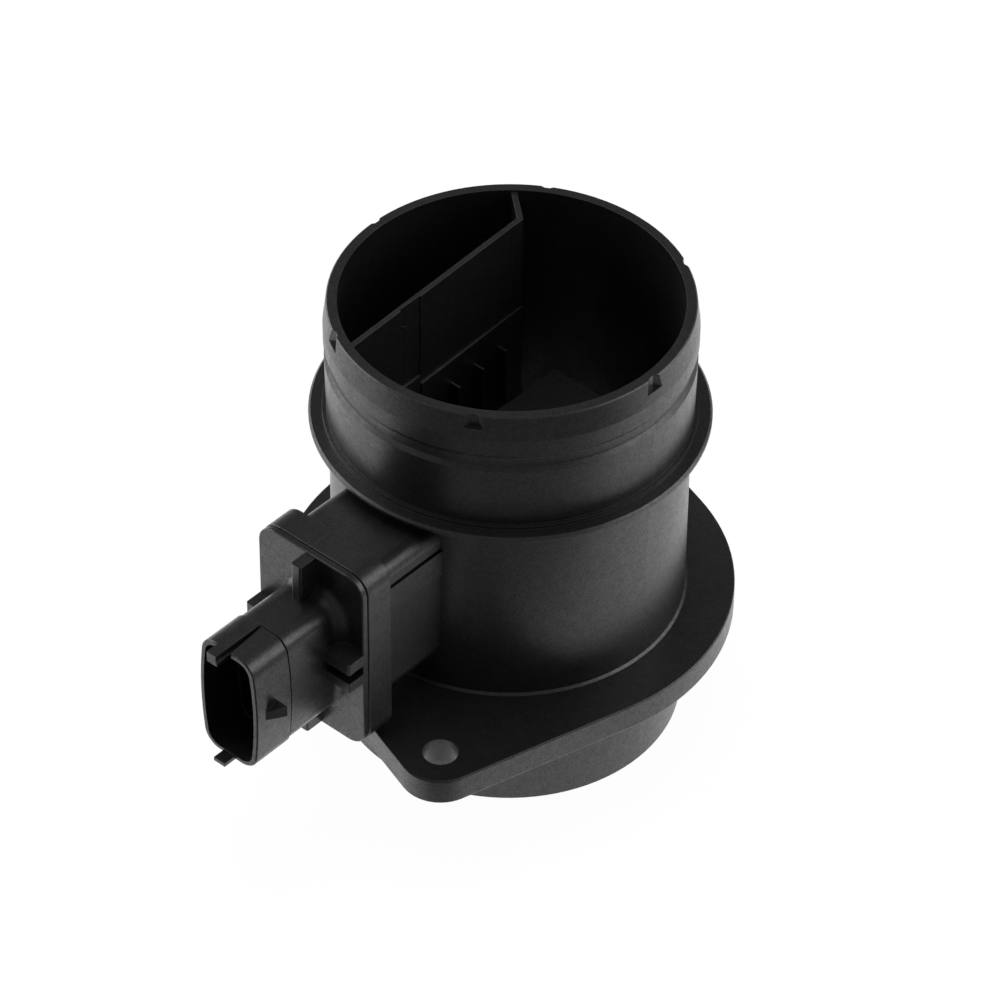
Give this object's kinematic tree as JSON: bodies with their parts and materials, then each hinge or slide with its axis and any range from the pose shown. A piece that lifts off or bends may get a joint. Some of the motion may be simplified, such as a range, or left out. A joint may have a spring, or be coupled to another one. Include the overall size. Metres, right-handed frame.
{
  "type": "mass airflow sensor",
  "caption": "Moulded air duct with a screw flange and a hose collar, carrying a plug-in sensor module whose blade crosses the bore and whose terminals stand in an oval connector.",
  "frame": {"origin": "centre of the lower spigot's end face, on the duct's axis, where the part stands", "axes": "+Z along the duct's axis towards the hose collar, -Y towards the connector's mouth, +X across the flange"},
  "size_m": [0.0962, 0.1466, 0.1055],
  "materials": {
    "duct_plastic": "black glass-filled plastic, fine matt grain",
    "module_plastic": "black glass-filled plastic, matt",
    "cover_plastic": "black glass-filled plastic, smooth",
    "sealant": "black cured silicone",
    "seal_rubber": "black moulded rubber, lightly oiled",
    "adhesive": "dark grey cured silicone adhesive",
    "carrier_steel": "cold rolled sheet steel",
    "board_ceramic": "fired alumina, matt",
    "chip_epoxy": "moulded epoxy",
    "capacitor_ceramic": "fired brown ceramic",
    "carrier_resin": "moulded resin",
    "silicon": "polished silicon",
    "terminal_tin": "tin plated brass strip",
    "wire_aluminium": "drawn aluminium wire",
    "bead_glass": "glazed dark bead",
    "lead_tin": "tinned wire"
  },
  "bodies": {
    "root": {"duct_housing": "duct_plastic", "module_housing": "module_plastic", "plate_sealant": "sealant", "module_seal": "seal_rubber", "electronics_cover": "cover_plastic", "electronics_cover_bead": "adhesive", "bypass_cover": "cover_plastic", "bypass_cover_bead": "adhesive", "carrier_plate": "carrier_steel", "circuit_board": "board_ceramic", "control_chip": "chip_epoxy", "capacitor_1": "capacitor_ceramic", "capacitor_2": "capacitor_ceramic", "capacitor_3": "capacitor_ceramic", "capacitor_4": "capacitor_ceramic", "sensor_carrier": "carrier_resin", "sensing_chip": "silicon", "terminal_1": "terminal_tin", "terminal_2": "terminal_tin", "terminal_3": "terminal_tin", "terminal_4": "terminal_tin", "terminal_5": "terminal_tin", "bond_wires": "wire_aluminium", "thermistor_bead": "bead_glass", "thermistor_lead_1": "lead_tin", "thermistor_lead_2": "lead_tin"}
  },
  "joints": []
}
